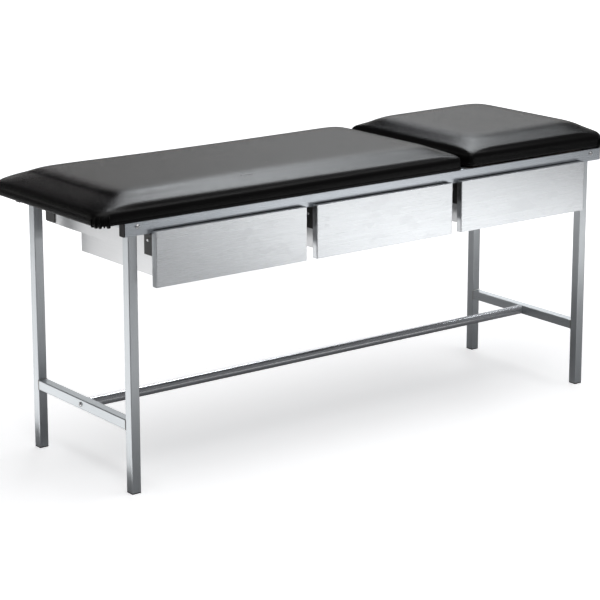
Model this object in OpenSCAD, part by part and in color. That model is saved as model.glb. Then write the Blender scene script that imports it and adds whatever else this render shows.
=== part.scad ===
// Medical exam table: a knock-down stainless frame, three hanging drawers on telescopic slides,
// a fixed body section and a head section that tilts up on a prop with toothed racks.
// X runs from the foot end to the head end, the drawers open towards -Y, and Z is up from the floor.

/* [Frame] */
// Length over the two end frames
frame_l = 1770; // [1450:5:2150]
// Width over the legs
frame_w = 540; // [500:5:680]
// Height of the rails' upper face above the floor
rail_top = 795; // [640:5:960]
// Side of the square leg, crossbar and stretcher tube
tube = 30; // [25:1:40]
// Wall of every frame tube
tube_wall = 2; // [1.5:0.1:3]
// Outside corner radius of the square and rectangular tubes
tube_r = 2.5; // [1:0.5:4]
// Height of the two long rails
rail_h = 40; // [33:1:50]
// Depth of the two long rails
rail_d = 25; // [20:1:35]
// Rail past the outer face of each end frame
rail_over = 25; // [10:1:60]
// Height of the middle of the lower stretchers above the floor
stretcher_z = 199; // [120:1:350]
// Outside diameter of the long stretcher
long_d = 30; // [25:1:36]
// Thickness of the plastic feet and end caps outside their tubes
cap_t = 3; // [2:0.5:6]
// Length of the plastic stems inside their tubes
cap_stem = 18; // [10:1:30]

/* [Bolts] */
// Diameter of the frame bolts
bolt_d = 8; // [6:1:10]
// Length of the frame bolts under the head
bolt_l = 48; // [44:1:55]
// Diameter of the frame bolt heads
bolt_head_d = 14; // [12:0.5:16]
// Depth of the rail bolts below the rails' upper face
bolt_drop = 14; // [12:1:20]

/* [Drawers] */
// Gap between each end frame and the drawer front beside it
side_gap = 31.5; // [28:0.5:60]
// Gap between neighbouring drawer fronts
front_gap = 36; // [32:1:60]
// Height of each drawer front
front_h = 160; // [130:5:220]
// Depth of the folded drawer fronts
front_d = 20; // [14:1:30]
// How far the drawer fronts rise over the rail
front_lap = 8; // [0:1:20]
// Gap between a closed drawer front and the rail
front_clear = 1; // [0.5:0.5:3]
// Sheet thickness of the drawer fronts and trays
sheet = 1.2; // [1:0.1:2]
// Depth of the drawer trays, front to back
tray_l = 416; // [340:2:520]
// Height of the drawer trays
tray_h = 120; // [80:2:130]
// Gap between the trays' upper edge and the rails' lower face
tray_drop = 13; // [10:1:20]
// Width of the hem turned in along the trays' upper edge
hem_w = 8; // [5:0.5:12]
// Travel of each drawer on its slides
travel = 380; // [300:5:430]
// Set-back of the runner plates from the sides of the fronts
plate_inset = 12; // [11:0.5:15]
// Height of the runner plates
plate_h = 72; // [64:1:90]
// Thickness of the runner plates
plate_t = 2; // [1.5:0.5:3]

/* [Top] */
// Overhang of the body cushion past the foot end of the rails
foot_over = 90; // [20:5:200]
// Overhang of the head cushion past the head end of the rails
head_over = 25; // [10:5:100]
// Distance from the hinge line to the head end of the cushion
head_l = 602; // [570:5:680]
// Overhang of the cushions past the rails' outer faces
side_over = 5; // [0:1:14]
// Gap between the two cushions at the hinge
cushion_gap = 30; // [26:1:50]
// Thickness of the padding over the boards
padding = 48; // [35:1:80]
// Thickness of the plywood boards
board_t = 18; // [12:1:24]
// Cover and padding round the edges of the boards
edge_pad = 5; // [3:0.5:12]
// Rise of the head section's underside over the rails
head_lift = 6; // [4:0.5:15]
// Extra height of the head cushion at its far end
head_rise = 7; // [0:1:20]

/* [Head section prop] */
// Diameter of the hinge and prop pins
pin_d = 8; // [6:0.2:10]
// Running clearance round the pins, on the radius
pin_clear = 0.05; // [0.02:0.01:0.1]
// Distance of each hinge from the middle of the table
hinge_y = 200; // [120:5:215]
// Distance along the board from the hinge line to the prop pivots
prop_at = 225; // [200:1:230]
// Depth of the prop pivots under the head board
prop_drop = 13; // [12:0.5:14]
// Length of the prop from its pivots to its foot rod
prop_l = 234; // [225:1:236]
// Distance of each prop arm from the middle of the table
prop_y = 150; // [80:5:160]
// Diameter of the prop's foot rod
foot_rod_d = 12; // [10:0.5:14]
// Clearance between the foot rod and the tooth tips with the section down
rod_clear = 1.4; // [1.2:0.1:3]
// Number of teeth in each rack
teeth = 7; // [3:1:7]
// Spacing of the rack teeth
tooth_pitch = 27; // [24:1:28]

/* [Hidden] */
SECTIONS = ["1", "2", "3"];
$fn = 48;

rail_l = frame_l + 2 * rail_over;
rail_y = (frame_w + rail_d) / 2;
rail_face = frame_w / 2 + rail_d;
rail_low = rail_top - rail_h;
rail_mid = rail_top - rail_h / 2;
leg_x = (frame_l - tube) / 2;
leg_y = (frame_w - tube) / 2;
end_inner = frame_l / 2 - tube;
bolt_z = rail_top - bolt_drop;
bolt_clear = 0.2;
over = 1;
head_taper = 0.6;
bolt_head_h = 5;
socket_af = 5;
socket_deep = 3;
nut_af = 13;
nut_h = 6.5;
thread_clear = 0.02;
insert_l = 25;
insert_clear = 0.02;
tube_inner_r = 0.4;
stem_clear = 0.1;
stem_wall = 2.5;
corner_steps = 3;

front_w = (2 * end_inner - 2 * side_gap - 2 * front_gap) / 3;
front_back_y = -rail_face - front_clear;
front_low = rail_low + front_lap - front_h;
front_lip = 12;
side_lip = 45;
front_corner_r = 2.5;
drawer_pitch = front_w + front_gap;
slide_l = travel + 20;
slide_w = 12.7;
slide_h = 45;
slide_t = 1.2;
slide_gap = 1.8;
slide_lip = 2.4;
outer_d = 9;
middle_in = slide_t + slide_gap;
middle_d = 7.6;
middle_h = slide_h - 10;
inner_in = middle_in + slide_t + slide_gap;
inner_h = middle_h - 7;
tray_half = front_w / 2 - plate_inset - plate_t - slide_w;
tray_top = rail_low - tray_drop;
tray_low = tray_top - tray_h;
slide_z = tray_top - slide_h / 2 - 1;
slide_start = -rail_face + 5;
screw_x = tray_half - 9;
screw_r = 2;
screw_head_r = 4;
screw_head_h = 2.2;
screw_l = 8;
plate_end = rail_face - 3;
plate_flange = 18;
plate_lip = 8;
bracket_w = 50;
bracket_t = 3;
bracket_h = plate_h - 3;
bracket_flange = 20;
rivet_r = 3;
rivet_head_r = 5.5;
rivet_head_h = 2.4;
rivet_y = plate_end - 0.6 * bracket_w;
rivet_z = rail_low - 26;

foot_x = -rail_l / 2 - foot_over;
head_x = rail_l / 2 + head_over;
hinge_x = head_x - head_l;
head_low = rail_top + head_lift;
hinge_z = head_low;
body_end = hinge_x - cushion_gap / 2;
head_start = hinge_x + cushion_gap / 2;
cushion_w = 2 * (rail_face + side_over);
cover_up = 2;
side_wall_h = 38;
level_h = 1;
wall_in = 4;
shoulder_in = 18;
shoulder_h = 14;
crown_in = 80;
corner_r = 38;
join_r = 14;

beam_w = 40;
beam_drop = 17;
beam_gap = 4;
beam_top = hinge_z - beam_drop;
beam_low = rail_low + beam_gap;
beam_h = beam_top - beam_low;
barrel_r = pin_d / 2 + 3;
barrel_l = 24;
ear_t = 5;
ear_gap = 0.6;
ear_r = pin_d / 2 + 4;
leaf_t = 3;
leaf_w = 40;
leaf_l = 95;
pin_head_h = 3;
pin_head_gap = 0.5;
pin_head_r = pin_d / 2 + 2;
prop_x = hinge_x + prop_at;
prop_z = hinge_z - prop_drop;
rod_x = prop_x + prop_l;
arm_t = 6;
arm_r = 9;
prop_ear_t = 4;
prop_ear_gap = 0.8;
rack_t = 8;
rack_y = prop_y + 35;
rod_half = rack_y + rack_t / 2 + 7;
rack_top = prop_z - foot_rod_d / 2 - rod_clear;
rack_low = rail_low + 2;
tooth_depth = 7;
tooth_slope = 6;
notch_w = foot_rod_d + 2;
first_tooth = rod_x - foot_rod_d - 8;
bumper_l = 50;
bumper_w = 18;
bumper_gap = 0.2;

// The whole table's box is centred on the origin, so the frame stands off it by these
mid_x = (foot_over - head_over) / 2;
mid_y = (front_clear + front_d - side_over) / 2;

function turn(c) = [cos(90 * c) - sin(90 * c), sin(90 * c) + cos(90 * c)];
function rounded_outline(w, h, r) = [
  for (c = [0:3], i = [0:corner_steps])
    let (a = 90 * (c + i / corner_steps))
    [turn(c)[0] * (w / 2 - r) + r * cos(a), turn(c)[1] * (h / 2 - r) + r * sin(a)]
];
function ear_outline(r, drop) = concat(
  [[-r, -drop], [r, -drop]],
  [for (a = [0:15:180]) [r * cos(a), r * sin(a)]]
);
function bar_outline(r, l) = concat(
  [for (a = [-90:15:90]) [l + r * cos(a), r * sin(a)]],
  [for (a = [90:15:270]) [r * cos(a), r * sin(a)]]
);
function drawer_x(k) = (k - 1) * drawer_pitch;

module in_frame() {
  translate([mid_x, mid_y, 0])
    children();
}

module along_x(l) {
  translate([-l / 2, 0, 0])
    rotate([90, 0, 90])
      linear_extrude(l)
        children();
}

module along_y(l) {
  translate([0, l / 2, 0])
    rotate([90, 0, 0])
      linear_extrude(l)
        children();
}

module rod_x_way(r, l) {
  rotate([0, 90, 0])
    cylinder(r = r, h = l, center = true);
}

module rod_y_way(r, l) {
  rotate([90, 0, 0])
    cylinder(r = r, h = l, center = true);
}

module tube_section(w, h) {
  difference() {
    polygon(rounded_outline(w, h, tube_r));
    polygon(rounded_outline(w - 2 * tube_wall, h - 2 * tube_wall, max(tube_r - tube_wall, tube_inner_r)));
  }
}

// Closed plate with a hollow stem that plugs a tube of outside size w by h, plate down
module tube_plug(w, h) {
  stem_w = w - 2 * (tube_wall + stem_clear);
  stem_h = h - 2 * (tube_wall + stem_clear);
  linear_extrude(cap_t)
    polygon(rounded_outline(w, h, tube_r));
  translate([0, 0, cap_t])
    linear_extrude(cap_stem)
      difference() {
        square([stem_w, stem_h], center = true);
        square([stem_w - 2 * stem_wall, stem_h - 2 * stem_wall], center = true);
      }
}

// Button-head bolt: shank up +Z, head below the origin
module bolt() {
  translate([0, 0, -over])
    cylinder(d = bolt_d, h = bolt_l + over);
  difference() {
    union() {
      translate([0, 0, -bolt_head_h / 2])
        cylinder(d = bolt_head_d, h = bolt_head_h / 2);
      translate([0, 0, -bolt_head_h])
        cylinder(d1 = bolt_head_d * head_taper, d2 = bolt_head_d, h = bolt_head_h / 2);
    }
    translate([0, 0, -bolt_head_h - over])
      cylinder(d = socket_af / cos(30), h = socket_deep + over, $fn = 6);
  }
}

module leg(sx, sy) {
  color("silver")
    in_frame()
      difference() {
        translate([sx * leg_x, sy * leg_y, cap_t])
          linear_extrude(rail_top - cap_t)
            tube_section(tube, tube);
        translate([sx * leg_x, sy * (frame_w - tube_wall) / 2, bolt_z])
          rod_y_way(bolt_d / 2 + bolt_clear, tube_wall * 2);
      }
}

module foot_plug(sx, sy) {
  color("black")
    in_frame()
      translate([sx * leg_x, sy * leg_y, 0])
        tube_plug(tube, tube);
}

module rail(sy) {
  color("silver")
    in_frame()
      difference() {
        translate([0, sy * rail_y, rail_mid])
          along_x(rail_l)
            tube_section(rail_d, rail_h);
        for (sx = [-1, 1])
          translate([sx * leg_x, sy * rail_y, bolt_z])
            rod_y_way(bolt_d / 2 + bolt_clear, rail_d + 2 * over);
      }
}

module rail_caps() {
  color("black")
    in_frame()
      for (sx = [-1, 1], sy = [-1, 1])
        translate([sx * (rail_l / 2 + cap_t), sy * rail_y, rail_mid])
          rotate([0, -90 * sx, 0])
            tube_plug(rail_h, rail_d);
}

module crossbar(sx) {
  color("silver")
    in_frame()
      translate([sx * leg_x, 0, rail_top - tube / 2])
        along_y(frame_w - 2 * tube)
          tube_section(tube, tube);
}

module end_stretcher(sx) {
  color("silver")
    in_frame()
      difference() {
        translate([sx * leg_x, 0, stretcher_z])
          along_y(frame_w - 2 * tube)
            tube_section(tube, tube);
        translate([sx * leg_x, 0, stretcher_z])
          rod_x_way(bolt_d / 2 + bolt_clear, tube + 2 * over);
      }
}

module long_stretcher() {
  color("gray")
    in_frame()
      translate([0, 0, stretcher_z])
        difference() {
          rod_x_way(long_d / 2, 2 * end_inner);
          rod_x_way(long_d / 2 - tube_wall, 2 * (end_inner + over));
        }
}

module stretcher_inserts() {
  color("dimgray")
    in_frame()
      for (sx = [-1, 1])
        translate([sx * (end_inner - insert_l / 2), 0, stretcher_z])
          difference() {
            rod_x_way(long_d / 2 - tube_wall - insert_clear, insert_l);
            rod_x_way(bolt_d / 2 + thread_clear, insert_l + 2 * over);
          }
}

module middle_cross_member() {
  color("silver")
    in_frame()
      translate([drawer_x(0.5), 0, rail_top - tube / 2])
        along_y(frame_w)
          tube_section(tube, tube);
}

module hinge_cross_member() {
  color("silver")
    in_frame()
      translate([hinge_x, 0, beam_top - beam_h / 2])
        along_y(frame_w)
          tube_section(beam_w, beam_h);
}

module frame_bolts() {
  color("gainsboro")
    in_frame() {
      for (sx = [-1, 1], sy = [-1, 1])
        translate([sx * leg_x, sy * rail_face, bolt_z])
          rotate([90 * sy, 0, 0])
            bolt();
      for (sx = [-1, 1])
        translate([sx * frame_l / 2, 0, stretcher_z])
          rotate([0, -90 * sx, 0])
            bolt();
    }
}

module rail_nuts() {
  color("dimgray")
    in_frame()
      for (sx = [-1, 1], sy = [-1, 1])
        translate([sx * leg_x, sy * (frame_w / 2 - tube_wall - nut_h / 2), bolt_z])
          rotate([90, 0, 0])
            difference() {
              cylinder(d = nut_af / cos(30), h = nut_h, center = true, $fn = 6);
              cylinder(r = bolt_d / 2 + thread_clear, h = nut_h + 2 * over, center = true);
            }
}

// Puts its children at the outer face of one runner plate; side -1 is a drawer's left, +1 its right
module at_plate(k, side) {
  translate([drawer_x(k), 0, 0])
    mirror([side > 0 ? 1 : 0, 0, 0])
      translate([plate_inset - front_w / 2, 0, 0])
        children();
}

module runner_plate(k, side) {
  color("gainsboro")
    in_frame()
      at_plate(k, side)
        difference() {
          along_y(2 * plate_end)
            polygon([
              [0, rail_low - plate_h], [plate_lip, rail_low - plate_h],
              [plate_lip, rail_low - plate_h + plate_t], [plate_t, rail_low - plate_h + plate_t],
              [plate_t, rail_low - plate_t], [plate_flange, rail_low - plate_t],
              [plate_flange, rail_low], [0, rail_low]
            ]);
          for (sy = [-1, 1])
            translate([0, sy * rivet_y, rivet_z])
              rod_x_way(rivet_r + thread_clear, 4 * plate_t);
        }
}

module hanger_brackets() {
  color([0.13, 0.13, 0.14])
    in_frame()
      for (k = [0:2], side = [-1, 1], sy = [-1, 1])
        at_plate(k, side)
          difference() {
            translate([0, sy * (plate_end - bracket_w / 2), 0])
              along_y(bracket_w)
                polygon([
                  [0, rail_low], [-bracket_flange, rail_low], [-bracket_flange, rail_low - bracket_t],
                  [-bracket_t, rail_low - bracket_t], [-bracket_t, rail_low - bracket_h],
                  [0, rail_low - bracket_h]
                ]);
            translate([-bracket_t, sy * rivet_y, rivet_z])
              rod_x_way(rivet_r + thread_clear, 3 * bracket_t);
          }
}

module hanger_rivets() {
  color("silver")
    in_frame()
      for (k = [0:2], side = [-1, 1], sy = [-1, 1])
        at_plate(k, side)
          translate([0, sy * rivet_y, rivet_z])
            rotate([0, 90, 0]) {
              translate([0, 0, -bracket_t])
                cylinder(r = rivet_r, h = bracket_t + plate_t);
              translate([0, 0, -bracket_t - rivet_head_h])
                cylinder(r1 = rivet_head_r * head_taper, r2 = rivet_head_r, h = rivet_head_h);
            }
}

// Half of a slide section is drawn from the runner plate's inner face towards the tray
module slide_pair(k) {
  color("lightgray")
    in_frame()
      for (side = [-1, 1])
        at_plate(k, side)
          translate([plate_t, slide_start + slide_l / 2, slide_z])
            along_y(slide_l)
              children();
}

// A channel drawn from x0, d deep and h high, whose web is on its left
module channel(x0, d, h) {
  difference() {
    translate([x0, -h / 2])
      square([d, h]);
    translate([x0 + slide_t, slide_t - h / 2])
      square([d, h - 2 * slide_t]);
  }
}

module slide_outer(k) {
  slide_pair(k) {
    channel(0, outer_d, slide_h);
    for (s = [-1, 1])
      translate([outer_d - slide_t / 2, s * (slide_h - slide_t - slide_lip) / 2])
        square([slide_t, slide_t + slide_lip], center = true);
  }
}

module slide_middle(k) {
  slide_pair(k)
    channel(middle_in, middle_d, middle_h);
}

module slide_inner(k) {
  slide_pair(k)
    translate([slide_w + inner_in, 0])
      mirror([1, 0])
        channel(inner_in, slide_w - inner_in, inner_h);
}

module front_outline() {
  r = front_corner_r;
  polygon(concat(
    [[front_w / 2, 0], [-front_w / 2, 0]],
    [for (a = [180:30:270]) [r * cos(a) + r - front_w / 2, r * sin(a) + r - front_d]],
    [for (a = [270:30:360]) [r * cos(a) - r + front_w / 2, r * sin(a) + r - front_d]]
  ));
}

module drawer_front(k) {
  color([0.78, 0.79, 0.8])
    in_frame()
      translate([drawer_x(k), front_back_y, front_low])
        difference() {
          linear_extrude(front_h)
            front_outline();
          translate([sheet - front_w / 2, sheet - front_d, sheet])
            cube([front_w - 2 * sheet, front_d - 2 * sheet, front_h - 2 * sheet]);
          translate([side_lip - front_w / 2, -front_d / 2, front_lip])
            cube([front_w - 2 * side_lip, front_d, front_h - 2 * front_lip]);
          at_screws()
            rod_y_way(screw_r + bolt_clear / 2, 4 * sheet);
        }
}

// The four screw places of a drawer front, from the middle of its lower back edge
module at_screws() {
  for (sx = [-1, 1], z = [0.25, 0.75])
    translate([sx * screw_x, 0, tray_low + z * tray_h - front_low])
      children();
}

module drawer_tray(k) {
  color([0.83, 0.84, 0.85])
    in_frame()
      translate([drawer_x(k), front_back_y, tray_low])
        difference() {
          translate([-tray_half, 0, 0])
            cube([2 * tray_half, tray_l, tray_h]);
          translate([sheet - tray_half, sheet, sheet])
            cube([2 * (tray_half - sheet), tray_l - 2 * sheet, tray_h - 2 * sheet]);
          translate([hem_w - tray_half, sheet, tray_h / 2])
            cube([2 * (tray_half - hem_w), tray_l - sheet - hem_w, tray_h]);
          translate([0, 0, front_low - tray_low])
            at_screws()
              rod_y_way(screw_r + bolt_clear / 2, 4 * sheet);
        }
}

module drawer_screws(k) {
  color("gainsboro")
    in_frame()
      translate([drawer_x(k), front_back_y + sheet, front_low])
        at_screws()
          rotate([90, 0, 0]) {
            cylinder(r = screw_r, h = screw_l);
            translate([0, 0, -screw_head_h])
              cylinder(r1 = screw_head_r * head_taper, r2 = screw_head_r, h = screw_head_h);
          }
}

// Plan of a board inside a cushion outline with corners r0 and r1, pulled in by the edge padding
module board_blank(x0, x1, r0, r1, h) {
  hull()
    for (sy = [-1, 1]) {
      translate([x0 + r0, sy * (cushion_w / 2 - r0), 0])
        cylinder(r = r0 - edge_pad, h = h, $fn = 32);
      translate([x1 - r1, sy * (cushion_w / 2 - r1), 0])
        cylinder(r = r1 - edge_pad, h = h, $fn = 32);
    }
}

module body_board() {
  color("peru")
    in_frame()
      translate([0, 0, rail_top])
        board_blank(foot_x, body_end, corner_r, join_r, board_t);
}

module head_board() {
  color("peru")
    in_frame()
      translate([0, 0, head_low])
        board_blank(head_start, head_x, join_r, corner_r, board_t);
}

// One level of a cushion: posts at the four corners, pulled in from the outline by inset
module cushion_level(x0, x1, r0, r1, inset, z, h) {
  for (sy = [-1, 1]) {
    translate([x0 + r0 + inset, sy * (cushion_w / 2 - r0 - inset), z])
      cylinder(r = r0, h = h, $fn = 32);
    translate([x1 - r1 - inset, sy * (cushion_w / 2 - r1 - inset), z])
      cylinder(r = r1, h = h, $fn = 32);
  }
}

// A crowned pad over a board, with straight side walls and a soft shoulder; rise lifts its far end
module cushion(x0, x1, r0, r1, low, rise) {
  top = board_t + padding;
  wall = side_wall_h + cover_up;
  color([0.12, 0.12, 0.12])
    in_frame()
      translate([0, 0, low])
        difference() {
          hull() {
            cushion_level(x0, x1, r0, r1, 0, cover_up, wall - shoulder_h - cover_up);
            cushion_level(x0, x1, r0, r1, wall_in, wall, level_h);
            cushion_level(x0, x1, r0, r1, shoulder_in, wall + shoulder_h, level_h);
            cushion_level(x0, x1, r0, r1, crown_in, top - level_h, level_h);
            cushion_level((x0 + x1) / 2 - crown_in, x1, r0, r1, crown_in, top - level_h + rise, level_h);
          }
          translate([0, 0, -over])
            board_blank(x0, x1, r0, r1, board_t + over);
        }
}

module body_cushion() {
  cushion(foot_x, body_end, corner_r, join_r, rail_top, 0);
}

module head_cushion() {
  cushion(head_start, head_x, join_r, corner_r, head_low, head_rise);
}

module at_hinges() {
  for (sy = [-1, 1])
    translate([hinge_x, sy * hinge_y, hinge_z])
      children();
}

module hinge_brackets() {
  ear_y = barrel_l / 2 + ear_gap + ear_t / 2;
  color("gray")
    in_frame()
      at_hinges()
        difference() {
          union() {
            for (sy = [-1, 1])
              translate([0, sy * ear_y, 0])
                along_y(ear_t)
                  polygon(ear_outline(ear_r, hinge_z - beam_top));
            translate([0, 0, beam_top - hinge_z + leaf_t / 2])
              cube([beam_w - 2 * tube_r, 2 * ear_y + ear_t, leaf_t], center = true);
          }
          rod_y_way(pin_d / 2 + pin_clear, 4 * ear_y);
        }
}

module hinge_leaves() {
  color("silver")
    in_frame()
      at_hinges()
        difference() {
          union() {
            translate([0, -leaf_w / 2, -leaf_t])
              cube([leaf_l, leaf_w, leaf_t]);
            rod_y_way(barrel_r, barrel_l);
          }
          for (sy = [-1, 1])
            translate([0, sy * (barrel_l + leaf_w) / 2, 0])
              cube([2 * (ear_r + over), leaf_w, 3 * leaf_t], center = true);
          rod_y_way(pin_d / 2 + pin_clear, leaf_w);
        }
}

module headed_pin(half) {
  rod_y_way(pin_d / 2, 2 * (half + over));
  for (sy = [-1, 1])
    translate([0, sy * (half + pin_head_gap + pin_head_h / 2), 0])
      rod_y_way(pin_head_r, pin_head_h);
}

module hinge_pins() {
  color("dimgray")
    in_frame()
      at_hinges()
        headed_pin(barrel_l / 2 + ear_gap + ear_t);
}

module at_prop_pivots() {
  for (sy = [-1, 1])
    translate([prop_x, sy * prop_y, prop_z])
      children();
}

module prop() {
  color("silver")
    in_frame()
      difference() {
        union() {
          at_prop_pivots()
            along_y(arm_t)
              polygon(bar_outline(arm_r, prop_l));
          translate([rod_x, 0, prop_z])
            rod_y_way(foot_rod_d / 2, 2 * rod_half);
        }
        at_prop_pivots()
          rod_y_way(pin_d / 2 + pin_clear, 2 * arm_t);
      }
}

module prop_brackets() {
  ear_y = arm_t / 2 + prop_ear_gap + prop_ear_t / 2;
  color("gray")
    in_frame()
      at_prop_pivots()
        difference() {
          union() {
            for (sy = [-1, 1])
              translate([0, sy * ear_y, 0])
                along_y(prop_ear_t)
                  rotate(180)
                    polygon(ear_outline(arm_r, prop_drop));
            translate([0, 0, prop_drop - leaf_t / 2])
              cube([5 * arm_r, 2 * ear_y + prop_ear_t, leaf_t], center = true);
          }
          rod_y_way(pin_d / 2 + pin_clear, 4 * ear_y);
        }
}

module prop_pins() {
  color("dimgray")
    in_frame()
      at_prop_pivots()
        headed_pin(arm_t / 2 + prop_ear_gap + prop_ear_t);
}

// Toothed bar from the hinge beam to the head end crossbar; each notch is steep on its head side
module rack(sy) {
  x0 = hinge_x + beam_w / 2;
  color("gray")
    in_frame()
      translate([0, sy * rack_y, 0])
        along_y(rack_t)
          polygon(concat(
            [[x0, rack_low], [end_inner, rack_low], [end_inner, rack_top]],
            [
              for (i = [0:teeth - 1], p = [[0, 0], [0, 1], [-notch_w, 1], [-notch_w - tooth_slope, 0]])
                [first_tooth - i * tooth_pitch + p[0], rack_top - p[1] * tooth_depth]
            ],
            [[x0, rack_top]]
          ));
}

module head_bumpers() {
  color("black")
    in_frame()
      for (sy = [-1, 1])
        translate([leg_x - bumper_l / 2, sy * rail_y - bumper_w / 2, rail_top])
          cube([bumper_l, bumper_w, head_lift - bumper_gap]);
}

leg(-1, -1);  // leg_front_foot
leg(1, -1);  // leg_front_head
leg(-1, 1);  // leg_back_foot
leg(1, 1);  // leg_back_head
foot_plug(-1, -1);  // foot_plug_front_foot
foot_plug(1, -1);  // foot_plug_front_head
foot_plug(-1, 1);  // foot_plug_back_foot
foot_plug(1, 1);  // foot_plug_back_head
rail(-1);  // front_rail
rail(1);  // back_rail
rail_caps();
crossbar(-1);  // foot_end_crossbar
crossbar(1);  // head_end_crossbar
end_stretcher(-1);  // foot_end_stretcher
end_stretcher(1);  // head_end_stretcher
long_stretcher();
stretcher_inserts();
middle_cross_member();
hinge_cross_member();
frame_bolts();
rail_nuts();
for (k = [0:2]) {
  runner_plate(k, -1);
  runner_plate(k, 1);
  slide_outer(k);
  slide_middle(k);
  slide_inner(k);
  drawer_front(k);
  drawer_tray(k);
  drawer_screws(k);
}
hanger_brackets();
hanger_rivets();
body_board();
body_cushion();
head_board();
head_cushion();
hinge_brackets();
hinge_leaves();
hinge_pins();
prop();
prop_brackets();
prop_pins();
rack(-1);  // rack_front
rack(1);  // rack_back
head_bumpers();
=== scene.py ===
"""Looks of the medical exam table: upholstery, metal finishes, and the floor, light and camera.

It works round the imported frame, in metres, and takes its places and sizes from the frame's boxes.
"""
import math

import bmesh
import bpy
import numpy as np
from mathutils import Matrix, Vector


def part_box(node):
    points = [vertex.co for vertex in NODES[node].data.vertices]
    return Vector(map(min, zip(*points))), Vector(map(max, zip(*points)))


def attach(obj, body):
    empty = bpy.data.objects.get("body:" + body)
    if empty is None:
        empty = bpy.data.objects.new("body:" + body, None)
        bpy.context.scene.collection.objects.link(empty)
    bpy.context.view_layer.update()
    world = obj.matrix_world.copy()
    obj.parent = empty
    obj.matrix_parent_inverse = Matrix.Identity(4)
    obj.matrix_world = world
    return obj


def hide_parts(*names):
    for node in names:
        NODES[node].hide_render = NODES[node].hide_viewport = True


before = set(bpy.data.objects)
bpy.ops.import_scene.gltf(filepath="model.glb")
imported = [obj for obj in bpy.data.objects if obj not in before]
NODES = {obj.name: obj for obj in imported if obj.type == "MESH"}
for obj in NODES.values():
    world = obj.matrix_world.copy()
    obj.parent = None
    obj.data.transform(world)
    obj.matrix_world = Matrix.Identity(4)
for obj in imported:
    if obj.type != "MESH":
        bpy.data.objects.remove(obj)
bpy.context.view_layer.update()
DRAWERS = ("1", "2", "3")
scene = bpy.context.scene

# ---------------------------------------------------------------- node helpers

MIX_SHARE, MIX_A, MIX_B, MIX_RESULT = 0, 6, 7, 2  # a Mix node's sockets when it mixes colours


def node(tree, kind, **settings):
    """One shader node; a setting is a property name, or an input name with its value."""
    made = tree.nodes.new("ShaderNode" + kind)
    for name, value in settings.items():
        if hasattr(made, name) and name not in ("color", "height", "width"):
            setattr(made, name, value)
        else:
            made.inputs[name.replace("_", " ")].default_value = value
    return made


def feed(tree, value, socket):
    """Links an output into an input, or sets the input to a plain value."""
    if isinstance(value, bpy.types.NodeSocket):
        tree.links.new(value, socket)
    else:
        socket.default_value = value


def maths(tree, operation, a, b=None, clamp=False):
    """A Math node; a and b are sockets or numbers. Returns its output."""
    made = node(tree, "Math", operation=operation, use_clamp=clamp)
    feed(tree, a, made.inputs[0])
    if b is not None:
        feed(tree, b, made.inputs[1])
    return made.outputs[0]


def weighted(tree, a, a_share, b, b_share):
    """The sum of two values, each times its share."""
    return maths(tree, "ADD", maths(tree, "MULTIPLY", a, a_share), maths(tree, "MULTIPLY", b, b_share))


def remap(tree, value, low, high, to_low=0.0, to_high=1.0):
    """A smooth Map Range node from low..high to to_low..to_high, clamped. Returns its output."""
    made = node(tree, "MapRange", interpolation_type="SMOOTHSTEP")
    tree.links.new(value, made.inputs["Value"])
    for name, number in (("From Min", low), ("From Max", high), ("To Min", to_low), ("To Max", to_high)):
        made.inputs[name].default_value = number
    return made.outputs[0]


def blend_colour(tree, share, a, b):
    """A colour Mix node; a and b are sockets or colours. Returns its output."""
    made = node(tree, "Mix", data_type="RGBA")
    feed(tree, share, made.inputs[MIX_SHARE])
    for colour, socket in ((a, MIX_A), (b, MIX_B)):
        solid = isinstance(colour, tuple)
        feed(tree, (*colour, 1.0) if solid else colour, made.inputs[socket])
    return made.outputs[MIX_RESULT]


def tinted(tree, mask, strength, under, tint):
    """A colour with a tint laid over it, as strong as a mask times a strength."""
    return blend_colour(tree, maths(tree, "MULTIPLY", mask, strength), under, tint)


def object_place(tree):
    """The place on the piece, in the shared frame."""
    return node(tree, "TexCoord").outputs["Object"]


def stretched(tree, where, scale):
    """A place times a scale vector, which is a socket or a tuple."""
    made = node(tree, "VectorMath", operation="MULTIPLY")
    tree.links.new(where, made.inputs[0])
    feed(tree, scale, made.inputs[1])
    return made.outputs[0]


def noise(tree, where, scale, detail=2.0, roughness=0.5):
    """A Noise texture read at a vector socket. Returns its value."""
    made = node(tree, "TexNoise", Detail=detail, Roughness=roughness)
    tree.links.new(where, made.inputs["Vector"])
    feed(tree, scale, made.inputs["Scale"])
    return made.outputs["Fac"]


def group(name, inputs, outputs):
    """An empty shader node group with its named sockets, and its two end nodes."""
    tree = bpy.data.node_groups.new(name, "ShaderNodeTree")
    for label, kind, default in inputs:
        made = tree.interface.new_socket(name=label, in_out="INPUT", socket_type="NodeSocket" + kind)
        made.default_value = default
    for label, kind in outputs:
        tree.interface.new_socket(name=label, in_out="OUTPUT", socket_type="NodeSocket" + kind)
    return tree, tree.nodes.new("NodeGroupInput").outputs, tree.nodes.new("NodeGroupOutput").inputs


# ---------------------------------------------------------------- shared effects


def make_brushed_grain():
    """Long fine scratches of a belt-polished surface: a value round 0.5 and a height."""
    tree, ins, outs = group(
        "brushed_grain",
        [("Stretch", "Vector", (1.0, 1.0, 1.0)), ("Fine", "Float", 1.0)],
        [("Streaks", "Float"), ("Height", "Float")],
    )
    along = stretched(tree, object_place(tree), ins["Stretch"])
    coarse = noise(tree, along, 1.0, 3.0, 0.6)
    fine = noise(tree, along, maths(tree, "MULTIPLY", ins["Fine"], 3.7), 2.0, 0.65)
    tree.links.new(weighted(tree, coarse, 0.45, fine, 0.55), outs["Streaks"])
    tree.links.new(fine, outs["Height"])
    return tree


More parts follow.
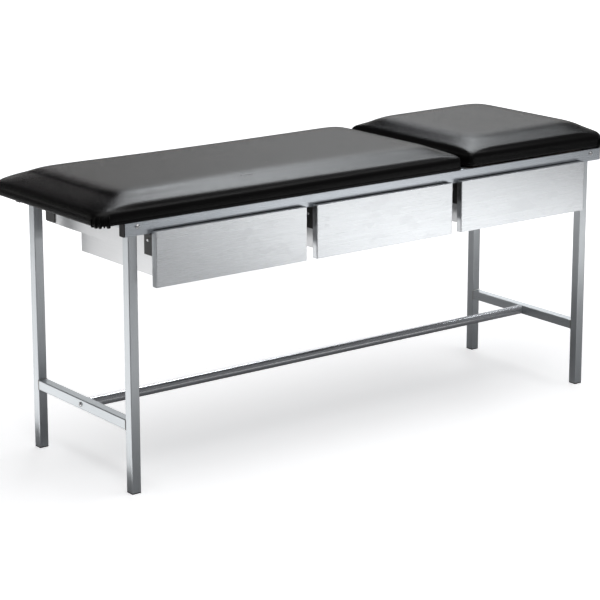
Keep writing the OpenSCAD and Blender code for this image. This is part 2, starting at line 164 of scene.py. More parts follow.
def make_edge_wear():
    """A mask that is 1 on the outer edges of a piece, broken up by a fine noise, and a rounded normal."""
    tree, ins, outs = group(
        "edge_wear",
        [("Radius", "Float", 0.001), ("Break up", "Float", 0.5)],
        [("Mask", "Float"), ("Normal", "Vector")],
    )
    bevel = node(tree, "Bevel", samples=6)
    tree.links.new(ins["Radius"], bevel.inputs["Radius"])
    agreement = node(tree, "VectorMath", operation="DOT_PRODUCT")
    tree.links.new(bevel.outputs[0], agreement.inputs[0])
    tree.links.new(node(tree, "NewGeometry").outputs["Normal"], agreement.inputs[1])
    edge = remap(tree, agreement.outputs["Value"], 0.995, 0.90)
    speckle = remap(tree, noise(tree, object_place(tree), 240.0, 3.0, 0.6), 0.35, 0.6)
    missing = maths(tree, "MULTIPLY", ins["Break up"], maths(tree, "SUBTRACT", 1.0, speckle))
    kept = maths(tree, "SUBTRACT", 1.0, missing)
    tree.links.new(maths(tree, "MULTIPLY", edge, kept), outs["Mask"])
    tree.links.new(bevel.outputs[0], outs["Normal"])
    return tree


def make_handling():
    """Slow variation from wiping and handling: a broad cloud and small smears."""
    tree, ins, outs = group(
        "handling", [("Scale", "Float", 3.0)], [("Cloud", "Float"), ("Smears", "Float")]
    )
    where = object_place(tree)
    smear_scale = maths(tree, "MULTIPLY", ins["Scale"], 6.5)
    smears = noise(tree, stretched(tree, where, (1.0, 1.0, 2.6)), smear_scale, 4.0, 0.62)
    tree.links.new(noise(tree, where, ins["Scale"], 3.0, 0.55), outs["Cloud"])
    tree.links.new(remap(tree, smears, 0.5, 0.74), outs["Smears"])
    return tree


def make_vinyl_grain():
    """The pressed pebble of upholstery vinyl: rounded cells with creases between them."""
    tree, ins, outs = group(
        "vinyl_grain", [("Scale", "Float", 900.0)], [("Height", "Float"), ("Creases", "Float")]
    )
    where = object_place(tree)
    drift = node(tree, "TexNoise", Scale=160.0)
    tree.links.new(where, drift.inputs["Vector"])
    warped = node(tree, "VectorMath", operation="MULTIPLY_ADD")
    tree.links.new(drift.outputs["Color"], warped.inputs[0])
    warped.inputs[1].default_value = (0.0016, 0.0016, 0.0016)
    tree.links.new(where, warped.inputs[2])
    cells = node(tree, "TexVoronoi", feature="DISTANCE_TO_EDGE")
    tree.links.new(warped.outputs[0], cells.inputs["Vector"])
    tree.links.new(ins["Scale"], cells.inputs["Scale"])
    pebble = remap(tree, cells.outputs["Distance"], 0.0, 0.35)
    pores = noise(tree, where, maths(tree, "MULTIPLY", ins["Scale"], 2.2), 2.0, 0.6)
    tree.links.new(weighted(tree, pebble, 0.75, pores, 0.25), outs["Height"])
    tree.links.new(maths(tree, "SUBTRACT", 1.0, pebble), outs["Creases"])
    return tree


GRAIN = make_brushed_grain()
WEAR = make_edge_wear()
HANDLING = make_handling()
VINYL_GRAIN = make_vinyl_grain()


def place(tree, shared, **values):
    """A shared group placed in a material, with its own values. Returns its outputs."""
    made = tree.nodes.new("ShaderNodeGroup")
    made.node_tree = shared
    for name, value in values.items():
        made.inputs[name.replace("_", " ")].default_value = value
    return made.outputs


def new_material(name, **principled):
    """A material with a Principled BSDF whose fixed values are set on its own sockets."""
    made = bpy.data.materials.new(name)
    made.use_nodes = True
    shader = made.node_tree.nodes["Principled BSDF"]
    for label, value in principled.items():
        shader.inputs[label.replace("_", " ")].default_value = value
    return made, made.node_tree, shader


def bump(tree, shader, height, strength, distance, normal=None):
    """A Bump node from a height socket into the shader's normal."""
    made = node(tree, "Bump", Strength=strength, Distance=distance)
    tree.links.new(height, made.inputs["Height"])
    if normal is not None:
        tree.links.new(normal, made.inputs["Normal"])
    tree.links.new(made.outputs[0], shader.inputs["Normal"])


# ---------------------------------------------------------------- finishes

LENGTHWISE, ACROSS = 3.0, 1100.0  # how closely the scratches vary along and across the polishing
ALONG = {
    "x": (LENGTHWISE, ACROSS, ACROSS),
    "y": (ACROSS, LENGTHWISE, ACROSS),
    "z": (ACROSS, ACROSS, LENGTHWISE),
}
TONE_SPREAD = 0.28
BARE_EDGE = (0.85, 0.86, 0.87)
RUBBED_EDGE = (0.16, 0.16, 0.16)
FINE_RELIEF, COARSE_RELIEF = 0.0003, 0.0005
PLY = 0.0022
CREASE_TINT = (0.004, 0.004, 0.004)


def steel(name, along, dark, light, rough, wear=0.5):
    """Brushed stainless or zinc-plated steel, grain along one axis."""
    made, tree, shader = new_material(name, Metallic=1.0)
    streaks = place(tree, GRAIN, Stretch=ALONG[along], Fine=1.0)
    marks = place(tree, HANDLING, Scale=2.2)
    worn = place(tree, WEAR, Radius=0.0012, Break_up=0.55)
    tone = weighted(tree, streaks["Streaks"], 0.5, marks["Cloud"], 0.5)
    shade = remap(tree, tone, 0.5 - TONE_SPREAD, 0.5 + TONE_SPREAD)
    colour = blend_colour(tree, shade, dark, light)
    tree.links.new(tinted(tree, worn["Mask"], wear, colour, BARE_EDGE), shader.inputs["Base Color"])
    scratch = maths(tree, "SUBTRACT", streaks["Streaks"], 0.5)
    uneven = weighted(tree, marks["Smears"], 0.025, scratch, 0.22)
    tree.links.new(maths(tree, "ADD", uneven, rough, clamp=True), shader.inputs["Roughness"])
    bump(tree, shader, streaks["Height"], 0.06, FINE_RELIEF, worn["Normal"])
    return made


def dark_coat_and_shade(name, colour, worn_colour, rough):
    """Near-black finish on pressed steel, with metal showing through on its edges; the near-black also
    paints the shade that lies on the brackets in the gaps between the drawers.
    """
    made, tree, shader = new_material(name)
    marks = place(tree, HANDLING, Scale=14.0)
    worn = place(tree, WEAR, Radius=0.0014, Break_up=0.8)
    coat_and_shade = blend_colour(tree, marks["Cloud"], colour, tuple(1.7 * c for c in colour))
    smeared = maths(tree, "MULTIPLY", marks["Smears"], 0.12)
    speck = noise(tree, object_place(tree), 1400.0, 2.0, 0.5)
    tree.links.new(blend_colour(tree, worn["Mask"], coat_and_shade, worn_colour), shader.inputs["Base Color"])
    tree.links.new(maths(tree, "MULTIPLY", worn["Mask"], 0.8), shader.inputs["Metallic"])
    tree.links.new(maths(tree, "ADD", smeared, rough), shader.inputs["Roughness"])
    bump(tree, shader, speck, 0.25, FINE_RELIEF, worn["Normal"])
    return made


def moulded(name, colour, rough, texture=1600.0, depth=0.35):
    """Moulded plastic or rubber with a fine mould texture and rubbed edges."""
    made, tree, shader = new_material(name, IOR=1.48, Specular_IOR_Level=0.2)
    marks = place(tree, HANDLING, Scale=18.0)
    worn = place(tree, WEAR, Radius=0.0009, Break_up=0.7)
    body = blend_colour(tree, marks["Cloud"], colour, tuple(1.9 * c for c in colour))
    smeared = maths(tree, "MULTIPLY", marks["Smears"], 0.15)
    grit = noise(tree, object_place(tree), texture, 3.0, 0.6)
    tree.links.new(tinted(tree, worn["Mask"], 0.35, body, RUBBED_EDGE), shader.inputs["Base Color"])
    tree.links.new(maths(tree, "ADD", smeared, rough), shader.inputs["Roughness"])
    bump(tree, shader, grit, depth, FINE_RELIEF, worn["Normal"])
    return made


def plywood(name):
    """Birch plywood: thin plies stacked in Z, long face grain along X, darker glue lines."""
    made, tree, shader = new_material(name, IOR=1.45)
    where = object_place(tree)
    split = node(tree, "SeparateXYZ")
    tree.links.new(where, split.inputs[0])
    height = maths(tree, "MULTIPLY", split.outputs["Z"], 1 / PLY)
    from_middle = maths(tree, "ABSOLUTE", maths(tree, "SUBTRACT", maths(tree, "FRACT", height), 0.5))
    glue = remap(tree, from_middle, 0.36, 0.48)
    odd = maths(tree, "ABSOLUTE", maths(tree, "MODULO", maths(tree, "FLOOR", height), 2.0))
    face = noise(tree, stretched(tree, where, (3.0, 46.0, 90.0)), 1.0, 5.0, 0.62)
    vessels = noise(tree, stretched(tree, where, (60.0, 1500.0, 1500.0)), 1.0, 2.0, 0.5)
    pores = remap(tree, vessels, 0.56, 0.7)
    wood = blend_colour(tree, remap(tree, face, 0.3, 0.7), (0.33, 0.17, 0.085), (0.52, 0.32, 0.17))
    for mask, strength, tint in (
        (odd, 0.35, (0.22, 0.1, 0.05)),
        (glue, 0.6, (0.12, 0.055, 0.03)),
        (pores, 0.45, (0.16, 0.08, 0.04)),
    ):
        wood = tinted(tree, mask, strength, wood, tint)
    tree.links.new(wood, shader.inputs["Base Color"])
    tree.links.new(remap(tree, face, 0.2, 0.8, 0.48, 0.68), shader.inputs["Roughness"])
    bump(tree, shader, face, 0.2, COARSE_RELIEF)
    return made


def vinyl(name, dark, light, rough):
    """Black upholstery vinyl: pressed pebble, soft sheen, faint wipe marks."""
    made, tree, shader = new_material(name, IOR=1.52, Specular_IOR_Level=0.1)
    pebble = place(tree, VINYL_GRAIN, Scale=760.0)
    marks = place(tree, HANDLING, Scale=3.4)
    colour = blend_colour(tree, marks["Cloud"], dark, light)
    uneven = weighted(tree, marks["Cloud"], 0.08, marks["Smears"], 0.05)
    tree.links.new(tinted(tree, pebble["Creases"], 0.5, colour, CREASE_TINT), shader.inputs["Base Color"])
    tree.links.new(maths(tree, "ADD", uneven, rough), shader.inputs["Roughness"])
    bump(tree, shader, pebble["Height"], 0.25, COARSE_RELIEF)
    return made


FRAME_DARK, FRAME_LIGHT = (0.45, 0.475, 0.49), (0.59, 0.615, 0.63)
RAIL_DARK, RAIL_LIGHT = (0.405, 0.435, 0.465), (0.53, 0.56, 0.59)
FINISH = {
    "frame_x": steel("frame_steel_x", "x", RAIL_DARK, RAIL_LIGHT, 0.28),
    "frame_y": steel("frame_steel_y", "y", FRAME_DARK, FRAME_LIGHT, 0.30),
    "frame_z": steel("frame_steel_z", "z", FRAME_DARK, FRAME_LIGHT, 0.30),
    "round": steel("round_tube_steel", "x", (0.42, 0.43, 0.445), (0.60, 0.61, 0.625), 0.24),
    "front": steel("drawer_front_steel", "x", (0.61, 0.63, 0.645), (0.69, 0.705, 0.72), 0.28, 0.7),
    "tray": steel("tray_steel", "y", (0.60, 0.605, 0.61), (0.78, 0.785, 0.79), 0.34),
    "zinc": steel("zinc_plated_steel", "y", (0.42, 0.43, 0.42), (0.62, 0.63, 0.61), 0.36, 0.8),
    "fastener": steel("fastener_steel", "z", (0.48, 0.48, 0.48), (0.74, 0.74, 0.74), 0.2, 0.9),
    "weld": steel("weld_steel", "z", (0.36, 0.35, 0.33), (0.55, 0.54, 0.52), 0.4),
    # brackets: partly a real black coat, partly painted shade of the drawer gaps they sit in
    "bracket": dark_coat_and_shade("bracket_paint", (0.03, 0.029, 0.028), (0.35, 0.34, 0.33), 0.42),
    "plastic": moulded("black_plastic", (0.012, 0.012, 0.013), 0.45),
    "rubber": moulded("black_rubber", (0.01, 0.01, 0.01), 0.7, 900.0, 0.5),
    "plywood": plywood("birch_plywood"),
    "vinyl": vinyl("black_vinyl", (0.0016, 0.0015, 0.0014), (0.0038, 0.0035, 0.0032), 0.18),
}
FINISHED_IN = {
    "frame_x": ("front_rail", "back_rail"),
    "frame_y": ("foot_end_", "head_end_", "middle_cross_member", "hinge_cross_member"),
    "frame_z": ("leg_",),
    "round": ("long_stretcher",),
    "front": ("drawer_front_",),
    "tray": ("drawer_tray_", "runner_plate_"),
    "zinc": (
        "slide_", "rack_", "hinge_brackets", "hinge_leaves", "prop", "prop_brackets",
        "stretcher_inserts", "rail_nuts",
    ),
    "fastener": ("frame_bolts", "hanger_rivets", "hinge_pins", "prop_pins", "drawer_screws_"),
    "bracket": ("hanger_brackets",),
    "plastic": ("foot_plug_", "rail_caps"),
    "rubber": ("head_bumpers",),
    "plywood": ("body_board", "head_board"),
    "vinyl": ("body_cushion", "head_cushion"),
}


def finish_of(name):
    """The finish of a CAD node; a listed name that ends in _ stands for all nodes that start with it."""
    for finish, listed in FINISHED_IN.items():
        starts = tuple(start for start in listed if start.endswith("_"))
        if name in listed or name.startswith(starts):
            return FINISH[finish]
    raise KeyError(name)


for name, part in NODES.items():
    part.data.materials.clear()
    part.data.materials.append(finish_of(name))

# ---------------------------------------------------------------- mesh helpers

TILTED = Vector((0.13, 0.21, 0.97))  # not along any tube, so it gives every tube a side


def mesh_piece(name, points, faces, material, smooth=True):
    """A new mesh object from points and faces."""
    data = bpy.data.meshes.new(name)
    data.from_pydata([tuple(p) for p in points], [], faces)
    data.materials.append(material)
    data.polygons.foreach_set("use_smooth", [smooth] * len(data.polygons))
    made = bpy.data.objects.new(name, data)
    scene.collection.objects.link(made)
    return made


def rounded_ring(x0, x1, y0, y1, radii, inset, steps=10):
    """Plan points round a rectangle pulled in by inset; radii are for the low-x and high-x corners."""
    points = []
    corners = (
        (x1, y1, radii[1], 0), (x0, y1, radii[0], 90), (x0, y0, radii[0], 180), (x1, y0, radii[1], 270)
    )
    for x, y, r, start in corners:
        sx, sy = (1 if x == x1 else -1), (1 if y == y1 else -1)
        cx, cy = x - sx * (r + inset), y - sy * (r + inset)
        for i in range(steps + 1):
            a = math.radians(start + 90 * i / steps)
            points.append((cx + r * math.cos(a), cy + r * math.sin(a)))
    return points


def tubes_piece(name, runs, material, closed=False, sides=8):
    """One mesh of round tubes; each run is a list of (centre, radius)."""
    points, faces = [], []
    for run in runs:
        first, count = len(points), len(run)
        for i, (centre, radius) in enumerate(run):
            before = run[i - 1][0] if i or closed else centre
            after = run[(i + 1) % count][0] if i < count - 1 or closed else centre
            along = (Vector(after) - Vector(before)).normalized()
            side = along.cross(TILTED).normalized()
            up = side.cross(along)
            for k in range(sides):
                turn = 2 * math.pi * k / sides
                points.append(Vector(centre) + radius * (math.cos(turn) * side + math.sin(turn) * up))
        for i in range(count if closed else count - 1):
            here, there = first + i * sides, first + (i + 1) % count * sides
            for k in range(sides):
                beside = (k + 1) % sides
                faces.append((here + k, here + beside, there + beside, there + k))
        if not closed:
            faces.append(tuple(first + k for k in reversed(range(sides))))
            faces.append(tuple(first + (count - 1) * sides + k for k in range(sides)))
    return mesh_piece(name, points, faces, material)


def apply_modifier(obj, modifier):
    """Replaces the object's mesh with the result of its modifiers."""
    graph = bpy.context.evaluated_depsgraph_get()
    done = bpy.data.meshes.new_from_object(obj.evaluated_get(graph))
    obj.modifiers.remove(modifier)
    obj.data = done


def coords(obj):
    """The mesh's vertex positions as an array."""
    out = np.empty(len(obj.data.vertices) * 3)
    obj.data.vertices.foreach_get("co", out)
    return out.reshape(-1, 3)


def set_coords(obj, points):
    """Writes vertex positions back to the mesh."""
    obj.data.vertices.foreach_set("co", points.ravel())
    obj.data.update()


# ---------------------------------------------------------------- cushions

COVER_DROP = 0.002  # how far the cover comes down past its CAD solid
WALL = 0.029  # the straight part of the side
ROLL_UP, ROLL_IN = 0.014, 0.02  # the rolled edge over it
SIDE_REACH = 0.14  # how far in the padding fills up from a long side
WALL_ROWS = (0.02, 0.5, 0.97)
TOP_ROWS = (
    0.0006, 0.002, 0.0045, 0.008, 0.013, 0.02, 0.035, 0.055, 0.08, 0.11, 0.14, 0.18, 0.22, 0.25
)
ROUNDED_IN = 0.01  # past the roll's steepest part, where a remeshed point is put back on the crown
HELD_TO, EASED_TO, EASED = 0.007, 0.02, 0.6  # heights up to which the cover is held, and partly held
CLOTH_STEPS = 20
EVENING_PASSES = 70
EDGE_SHARE = 0.2  # the part of the cap that is allowed at the outline
VINYL_THICK = 0.0009


def swell(share):
    """How full a stuffed shoulder is at a share of its reach from the edge."""
    return 1 - (1 - np.clip(share, 0, 1)) ** 3


class Pad:
    """The plan and crown of one upholstered section, over its CAD solid."""

    def __init__(self, cad_node, body, radii, reach, drop, crown, rise=0.0):
        low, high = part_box(cad_node)
        self.node, self.body, self.radii, self.reach, self.drop = cad_node, body, radii, reach, drop
        self.crown, self.rise = crown, rise
        self.x0, self.y0, self.x1, self.y1 = low.x, low.y, high.x, high.y
        self.z0 = low.z - COVER_DROP

    def ring(self, inset):
        """Plan outline pulled in by inset."""
        return rounded_ring(self.x0, self.x1, self.y0, self.y1, self.radii, inset)

    def inset(self, x, y):
        """Distance of a place in the plan from the outline, inwards."""
        x, y = np.asarray(x), np.asarray(y)
        r = np.where(x < (self.x0 + self.x1) / 2, *self.radii)
        past_x = np.abs(x - (self.x0 + self.x1) / 2) - (self.x1 - self.x0) / 2 + r
        past_y = np.abs(y - (self.y0 + self.y1) / 2) - (self.y1 - self.y0) / 2 + r
        outside = np.hypot(np.maximum(past_x, 0), np.maximum(past_y, 0))
        return r - outside - np.minimum(np.maximum(past_x, past_y), 0)

    def wall(self, x):
        """Height of the straight side wall, which is lower towards a free end."""
        near = 1 - swell((x - self.x0) / self.reach[0])
        far = 1 - swell((self.x1 - x) / self.reach[1])
        return WALL - self.drop[0] * near - self.drop[1] * far

    def fullness(self, x, y):
        """How full the padding is over a place in the plan, from 0 at the outline to 1 in the middle."""
        along = swell((x - self.x0) / self.reach[0]) * swell((self.x1 - x) / self.reach[1])
        return along * swell((y - self.y0) / SIDE_REACH) * swell((self.y1 - y) / SIDE_REACH)

    def dome(self, x, y):
        """Height of the crowned top over a place in the plan: a rolled edge, then a long shoulder."""
        roll = ROLL_UP * np.sqrt(1 - (1 - np.clip(self.inset(x, y) / ROLL_IN, 0, 1)) ** 2)
        higher = self.rise * np.clip((x - self.x0) / (self.x1 - self.x0), 0, 1)
        lift = self.crown - WALL - ROLL_UP + higher
        return self.z0 + self.wall(x) + roll + lift * self.fullness(x, y)

    def start_shape(self):
        """Closed starting shape: flat base, straight side wall, crowned top."""
        rows = []
        for share in WALL_ROWS:
            rows.append([(x, y, self.z0 + share * float(self.wall(x))) for x, y in self.ring(0.0)])
        for inset in TOP_ROWS:
            rows.append([(x, y, float(self.dome(x, y))) for x, y in self.ring(inset)])
        count = len(rows[0])
        rings = [range(i * count, (i + 1) * count) for i in range(len(rows))]
        faces = [tuple(reversed(rings[0]))]
        for below, above in zip(rings, rings[1:]):
            for i in range(count):
                after = (i + 1) % count
                faces.append((below[i], below[after], above[after], above[i]))
        faces.append(tuple(rings[-1]))
        points = [point for row in rows for point in row]
        return mesh_piece(self.node + "_upholstery", points, faces, FINISH["vinyl"])


def evened(obj, moved):
    """A movement of the mesh's vertices averaged with their neighbours, so that it leaves no creases."""
    ends = np.empty(len(obj.data.edges) * 2, dtype=np.int64)
    obj.data.edges.foreach_get("vertices", ends)
    ends = ends.reshape(-1, 2)
    here = np.concatenate([ends[:, 0], ends[:, 1]])
    there = np.concatenate([ends[:, 1], ends[:, 0]])
    count = np.bincount(here, minlength=len(moved))[:, None]
    for _ in range(EVENING_PASSES):
        around = np.stack([np.bincount(here, moved[there, k], len(moved)) for k in range(3)], axis=1)
        moved = 0.5 * (moved + around / count)
    return moved


def add_cloth(piece, heights):
    """Cloth that air pressure fills, with the cover's underside held down."""
    held = piece.vertex_groups.new(name="held")
    partly = (heights >= HELD_TO) & (heights < EASED_TO)
    held.add(np.nonzero(heights < HELD_TO)[0].tolist(), 1.0, "REPLACE")
    held.add(np.nonzero(partly)[0].tolist(), EASED, "REPLACE")
    cloth = piece.modifiers.new("cloth", "CLOTH")
    fabric = cloth.settings
    fabric.quality = 5
    fabric.mass = 0.4
    fabric.tension_stiffness = fabric.compression_stiffness = 22
    fabric.shear_stiffness = 8
    fabric.bending_stiffness = 1.2
    fabric.use_pressure = True
    fabric.uniform_pressure_force = 4.0
    fabric.effector_weights.gravity = 0
    fabric.vertex_group_mass = "held"
    cloth.collision_settings.use_collision = False
    return cloth


def fill(piece, pad, start, cap):
    """Lets the cloth fill a pad from its starting positions; the movement is evened out, then capped."""
    heights = start[:, 2] - pad.z0
    cloth = add_cloth(piece, heights)
    for step in range(1, CLOTH_STEPS + 1):
        scene.frame_set(step)
    apply_modifier(piece, cloth)
    scene.frame_set(1)
    moved = evened(piece, coords(piece) - start)
    moved[heights < HELD_TO] = 0.0
    length = np.linalg.norm(moved, axis=1, keepdims=True)
    full = np.clip(pad.fullness(start[:, 0], start[:, 1]), 0, 1)[:, None]
    allowed = cap * (EDGE_SHARE + (1 - EDGE_SHARE) * full)
    moved *= np.minimum(1.0, allowed / np.maximum(length, 1e-9))
    set_coords(piece, start + moved)


def inflate(piece, pad, voxel, cap):
    """Remeshes a pad, lets cloth pressure fill it, and smooths it."""
    remesh = piece.modifiers.new("remesh", "REMESH")
    remesh.mode, remesh.voxel_size = "VOXEL", voxel
    apply_modifier(piece, remesh)
    start = coords(piece)
    inner = pad.inset(start[:, 0], start[:, 1])
    top = (inner > ROUNDED_IN) & (start[:, 2] > pad.z0 + pad.wall(start[:, 0]))
    start[top, 2] = pad.dome(start[top, 0], start[top, 1])
    set_coords(piece, start)
    fill(piece, pad, start, cap)
    smooth = piece.modifiers.new("smooth", "SMOOTH")
    smooth.factor, smooth.iterations = 0.5, 4
    apply_modifier(piece, smooth)
    finer = piece.modifiers.new("finer", "SUBSURF")
    finer.levels = finer.render_levels = 1
    apply_modifier(piece, finer)
    piece.data.polygons.foreach_set("use_smooth", [True] * len(piece.data.polygons))


def declare(piece, body):
    """Says which body a new piece rides on."""
    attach(piece, body)


HEM_BEND = (  # inset and height of the cover's edge, down the side and round the board's edge
    (0.0016, 0.012), (0.0006, 0.007), (0.0005, 0.003), (0.0010, 0.0006), (0.0024, -0.0008),
    (0.0044, -0.0012),
)
TURN_ROWS, TURN_STEP = 5, 0.0052  # the flat part under the board
CLEAR_OF_LEGS = 0.03
FOLD_ANGLES = (12, 30, 47, 63, 80)
FOLD_PATH = (  # distance out from the outline, height and radius, from the side down and under the board
    (0.0000, 0.026, 0.0005), (0.0002, 0.018, 0.0016), (0.0002, 0.010, 0.0027),
    (-0.0004, 0.003, 0.0037), (-0.0028, -0.0022, 0.0042), (-0.008, -0.0036, 0.0038),
    (-0.015, -0.0030, 0.0026), (-0.023, -0.0015, 0.0008),
)
FOLD_VARIATION = 0.35
STAPLES = 14
STAPLE_IN, STAPLE_SIDE_GAP = 0.02, 0.07
STAPLE_LEAN = 0.0012
STAPLE_DOWN = 0.0022
STAPLE_LEG, STAPLE_CROWN = (0.005, 0.0005), (0.0046, 0.0006)  # half length and wire radius
STAPLE_DEEP = 0.0012


def make_hem(pad, free_low, free_high):
    """The cover's lower edge; it is turned under the board only past the legs, where no rail carries it."""
    turned = [(HEM_BEND[-1][0] + TURN_STEP * k, HEM_BEND[-1][1]) for k in range(1, TURN_ROWS + 1)]
    points, faces = [], []
    count = len(pad.ring(0.0))
    for inset, height in (*HEM_BEND, *turned):
        points += [(x, y, pad.z0 + height) for x, y in pad.ring(inset)]
    for row in range(len(HEM_BEND) + len(turned) - 1):
        for i in range(count):
            corners = (row * count + i, row * count + (i + 1) % count)
            free = all(points[c][0] < free_low or points[c][0] > free_high for c in corners)
            if row < len(HEM_BEND) - 1 or free:
                faces.append((corners[0], corners[0] + count, corners[1] + count, corners[1]))
    hem = mesh_piece(pad.node + "_hem", points, faces, FINISH["vinyl"])
    shape = bmesh.new()
    shape.from_mesh(hem.data)
    bmesh.ops.delete(shape, geom=[v for v in shape.verts if not v.link_faces], context="VERTS")
    shape.to_mesh(hem.data)
    shape.free()
    thick = hem.modifiers.new("thick", "SOLIDIFY")
    thick.thickness, thick.offset = VINYL_THICK, -1.0
    apply_modifier(hem, thick)
    declare(hem, pad.body)


def make_pleats(pad, end):
    """Gathered folds where the cover is pulled round the two corners of one end."""
    r = pad.radii[0] if end < 0 else pad.radii[1]
    x = pad.x0 + r if end < 0 else pad.x1 - r
    runs = []
    for sy, y in ((-1, pad.y0 + r), (1, pad.y1 - r)):
        for k, angle in enumerate(FOLD_ANGLES):
            turn = math.radians(angle)
            outwards = Vector((end * math.cos(turn), sy * math.sin(turn), 0.0))
            size = 1.0 + FOLD_VARIATION * math.sin(2.3 * k + sy + end)
            runs.append([
                (Vector((x, y, pad.z0 + z)) + outwards * (r + out), radius * size)
                for out, z, radius in FOLD_PATH
            ])
    pleats = tubes_piece(f"{pad.node}_pleats", runs, FINISH["vinyl"], sides=10)
    declare(pleats, pad.body)


def make_staples(pad, end):
    """Wire staples that hold the turned edge under one free end."""
    x = (pad.x0 if end < 0 else pad.x1) - end * STAPLE_IN
    z = pad.z0 - STAPLE_DOWN
    width = pad.y1 - pad.y0 - 2 * STAPLE_SIDE_GAP
    (leg, leg_wire), (crown, crown_wire) = STAPLE_LEG, STAPLE_CROWN
    runs = []
    for k in range(STAPLES):
        y = pad.y0 + STAPLE_SIDE_GAP + width * k / (STAPLES - 1)
        lean = STAPLE_LEAN * math.sin(1.7 * k)
        runs.append([
            ((x - lean, y - leg, z + STAPLE_DEEP), leg_wire), ((x - lean, y - crown, z), crown_wire),
            ((x + lean, y + crown, z), crown_wire), ((x + lean, y + leg, z + STAPLE_DEEP), leg_wire),
        ])
    staples = tubes_piece(f"{pad.node}_staples", runs, FINISH["fastener"], sides=6)
    declare(staples, pad.body)


def cushion(pad, voxel, cap, free_end):
    """An upholstered section in place of its CAD solid, with its turned edge, folds and staples."""
    piece = pad.start_shape()
    inflate(piece, pad, voxel, cap)
    declare(piece, pad.body)
    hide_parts(pad.node)
    legs_from, legs_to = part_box("leg_front_foot")[0].x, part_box("leg_front_head")[1].x
    make_hem(pad, legs_from - CLEAR_OF_LEGS, legs_to + CLEAR_OF_LEGS)
    make_pleats(pad, free_end)
    make_staples(pad, free_end)


BODY_PAD = Pad(
    "body_cushion", "frame", radii=(0.045, 0.014), reach=(0.19, 0.15), drop=(0.013, 0.0), crown=0.069
)
HEAD_PAD = Pad(
    "head_cushion", "head_section", radii=(0.014, 0.04), reach=(0.15, 0.17), drop=(0.0, 0.003), crown=0.072,
    rise=0.006,
)
cushion(BODY_PAD, voxel=0.006, cap=0.0055, free_end=-1)
cushion(HEAD_PAD, voxel=0.005, cap=0.0055, free_end=1)

# ---------------------------------------------------------------- welds and painted shade strips

WELD_PROUD, WELD_IN = 0.0004, 0.0006
WELD_CORNER = 0.003
WELD_RADIUS, WELD_RIPPLE = 0.00135, 0.0003
WELD_STEP, STEPS_PER_RIPPLE = 0.0011, 3.0
# black strips that paint the shaded gap line between each drawer front and the rail
SHADE_STRIP_STEPS = 40
SHADE_STRIP_SIDE_GAP, SHADE_STRIP_IN, SHADE_STRIP_UP = 0.004, 0.0018, 0.0004
SHADE_STRIP_RADIUS, SHADE_STRIP_END_RADIUS = 0.0013, 0.0007


def weld_loop(low, high, y):
    """A rippled bead round a tube's end, in the plane at y, as (centre, radius) steps."""
    outline = rounded_ring(
        low.x - WELD_PROUD, high.x + WELD_PROUD, low.z - WELD_PROUD, high.z + WELD_PROUD,
        (WELD_CORNER, WELD_CORNER), 0.0, 3,
    )
    loop = []
    for (xa, za), (xb, zb) in zip(outline, outline[1:] + outline[:1]):
        steps = max(1, round(math.hypot(xb - xa, zb - za) / WELD_STEP))
        for k in range(steps):
            share = k / steps
            radius = WELD_RADIUS + WELD_RIPPLE * math.sin(2 * math.pi * (len(loop) / STEPS_PER_RIPPLE))
            loop.append(((xa + (xb - xa) * share, y, za + (zb - za) * share), radius))
    return loop


def make_welds():
    """Bead round each end of the members that are welded between the legs and rails."""
    runs = []
    for name in NODES:
        if name.endswith(("end_stretcher", "crossbar", "cross_member")):
            low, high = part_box(name)
            runs += [weld_loop(low, high, low.y + WELD_IN), weld_loop(low, high, high.y - WELD_IN)]
    beads = tubes_piece("weld_beads", runs, FINISH["weld"], closed=True, sides=6)
    declare(beads, "frame")


def make_gap_shade_strips():
    """A black strip along the top back edge of each drawer front: painted shade, the dark line of the gap
    between the front and the rail.
    """
    for k in DRAWERS:
        low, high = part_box("drawer_front_" + k)
        y, z = high.y - SHADE_STRIP_IN, high.z + SHADE_STRIP_UP
        run = []
        for i in range(SHADE_STRIP_STEPS + 1):
            x = low.x + SHADE_STRIP_SIDE_GAP + (high.x - low.x - 2 * SHADE_STRIP_SIDE_GAP) * i / SHADE_STRIP_STEPS
            run.append(((x, y, z), SHADE_STRIP_RADIUS if 0 < i < SHADE_STRIP_STEPS else SHADE_STRIP_END_RADIUS))
        # black rubber finish, so that the strip shows as the gap's painted shade
        shade_strip = tubes_piece("drawer_gap_shade_" + k, [run], FINISH["rubber"], sides=12)
        declare(shade_strip, "drawer_" + k)


make_welds()
make_gap_shade_strips()

# ---------------------------------------------------------------- stage, light and camera

FLOOR_SIZE = 60.0
FLOOR_DOWN = 0.0005
FLOOR_SEEN, FLOOR_REFLECTED = (0.9, 0.9, 0.905), (0.42, 0.42, 0.425)
WHITE_FROM, WHITE_AT = 1.2, 3.4  # distances over which the floor runs out to white
HORIZON, OVERHEAD, BEHIND = (1.05, 1.04, 1.02), (0.05, 0.05, 0.055), (0.24, 0.24, 0.25)
SHEET = (2.0, 2.06, 2.12)
SHEET_LEAN = 0.55
CAMERA_AT = (-3.9216, -5.0669, 2.0869)
CAMERA_DOWN, CAMERA_ROUND = 12.52, 37.33
CAMERA_LENS, CAMERA_SENSOR, CAMERA_SHIFT = 127.34, 36.0, -0.15


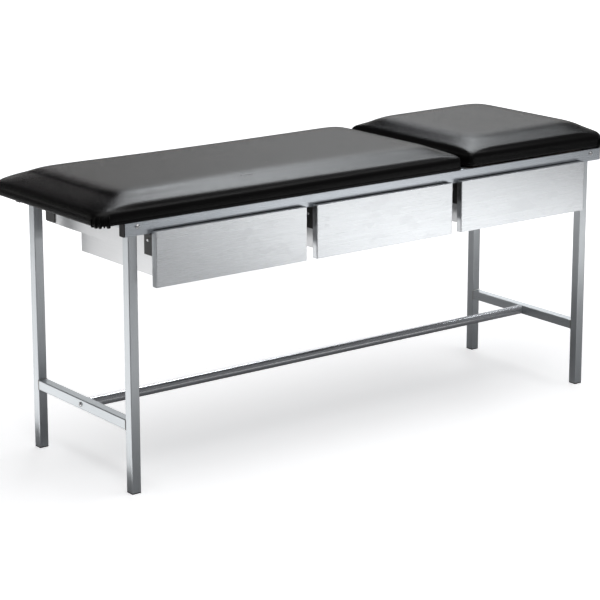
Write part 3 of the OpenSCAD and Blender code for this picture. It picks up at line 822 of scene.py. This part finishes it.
def make_floor():
    """A plain pale floor: the camera sees it glow out to white, and reflections see it grey."""
    side = FLOOR_SIZE / 2
    made, tree, shader = new_material("pale_floor", Roughness=0.75, Specular_IOR_Level=0.0)
    seen = node(tree, "LightPath").outputs["Is Camera Ray"]
    tree.links.new(blend_colour(tree, seen, FLOOR_REFLECTED, FLOOR_SEEN), shader.inputs["Base Color"])
    away = node(tree, "VectorMath", operation="LENGTH")
    tree.links.new(object_place(tree), away.inputs[0])
    paler = remap(tree, away.outputs["Value"], WHITE_FROM, WHITE_AT, 0.5, 1.0)
    glow = blend_colour(tree, maths(tree, "MULTIPLY", paler, seen), (0.0, 0.0, 0.0), (1.0, 1.0, 1.0))
    tree.links.new(glow, shader.inputs["Emission Color"])
    shader.inputs["Emission Strength"].default_value = 1.0
    points = [(-side, -side, 0.0), (side, -side, 0.0), (side, side, 0.0), (-side, side, 0.0)]
    floor = mesh_piece("floor", points, [(0, 1, 2, 3)], made, smooth=False)
    floor.location.z = -FLOOR_DOWN


def area_light(name, place_at, aim, size, brightness, colour=(1.0, 1.0, 1.0), sheen_only=True):
    """A rectangular light aimed at a point; a sheen card is seen only in reflections."""
    data = bpy.data.lights.new(name, "AREA")
    data.shape = "RECTANGLE"
    data.size, data.size_y = size
    data.energy = brightness * math.pi * size[0] * size[1]
    data.color = colour
    made = bpy.data.objects.new(name, data)
    made.location = place_at
    made.rotation_euler = (Vector(aim) - Vector(place_at)).to_track_quat("-Z", "Y").to_euler()
    made.visible_camera = False
    made.visible_diffuse = not sheen_only
    scene.collection.objects.link(made)


def make_world():
    """Studio surroundings for light and reflections; the camera itself sees plain white."""
    world = bpy.data.worlds.new("studio")
    world.use_nodes = True
    tree = world.node_tree
    tree.nodes.clear()
    split = node(tree, "SeparateXYZ")
    tree.links.new(node(tree, "TexCoord").outputs["Generated"], split.inputs[0])
    x, y, z = (split.outputs[axis] for axis in "XYZ")
    off_horizon = maths(tree, "MAXIMUM", remap(tree, z, 0.20, 0.33), remap(tree, z, 0.13, 0.06))
    sky = blend_colour(tree, off_horizon, HORIZON, OVERHEAD)
    sky = blend_colour(tree, remap(tree, y, 0.35, 0.1), sky, BEHIND)
    aside = maths(tree, "SUBTRACT", x, maths(tree, "MULTIPLY", y, SHEET_LEAN))
    sheet = remap(tree, aside, 0.02, 0.13)
    for direction, outside, inside in ((aside, 0.38, 0.27), (z, 0.25, 0.36), (z, 0.86, 0.70)):
        sheet = maths(tree, "MULTIPLY", sheet, remap(tree, direction, outside, inside))
    sky = blend_colour(tree, sheet, sky, SHEET)
    seen = node(tree, "LightPath").outputs["Is Camera Ray"]
    back = node(tree, "Background", Strength=1.0)
    tree.links.new(blend_colour(tree, seen, sky, (1.0, 1.0, 1.0)), back.inputs["Color"])
    tree.links.new(back.outputs[0], node(tree, "OutputWorld").inputs["Surface"])
    scene.world = world


def make_camera():
    """The viewing angle: from the foot end's front corner, a little above the top."""
    data = bpy.data.cameras.new("camera")
    data.sensor_width = CAMERA_SENSOR
    data.lens = CAMERA_LENS
    data.shift_y = CAMERA_SHIFT
    made = bpy.data.objects.new("camera", data)
    made.location = CAMERA_AT
    made.rotation_euler = (math.radians(90 - CAMERA_DOWN), 0.0, math.radians(-CAMERA_ROUND))
    scene.collection.objects.link(made)
    scene.camera = made


make_floor()
make_world()
area_light("overhead_softbox", (0.1, -0.35, 3.5), (0.1, -0.35, 0.0), (5.0, 3.0), 1.9, sheen_only=False)
area_light("top_sheen_card", (1.75, 0.95, 3.3), (1.2, 0.7, 0.0), (2.9, 1.3), 12.0, (0.93, 0.97, 1.0))
area_light("front_sheen_card", (1.95, -2.55, 0.01), (1.95, -2.55, 1.0), (1.9, 2.3), 1.9)
area_light("foot_sheen_card", (-2.2, 1.3, 0.01), (-2.2, 1.3, 1.0), (2.5, 3.5), 1.15)
area_light("leg_sheen_card", (0.0, -1.45, 0.01), (0.0, -1.45, 1.0), (1.0, 1.1), 0.45)
make_camera()
scene.view_settings.view_transform = "Standard"
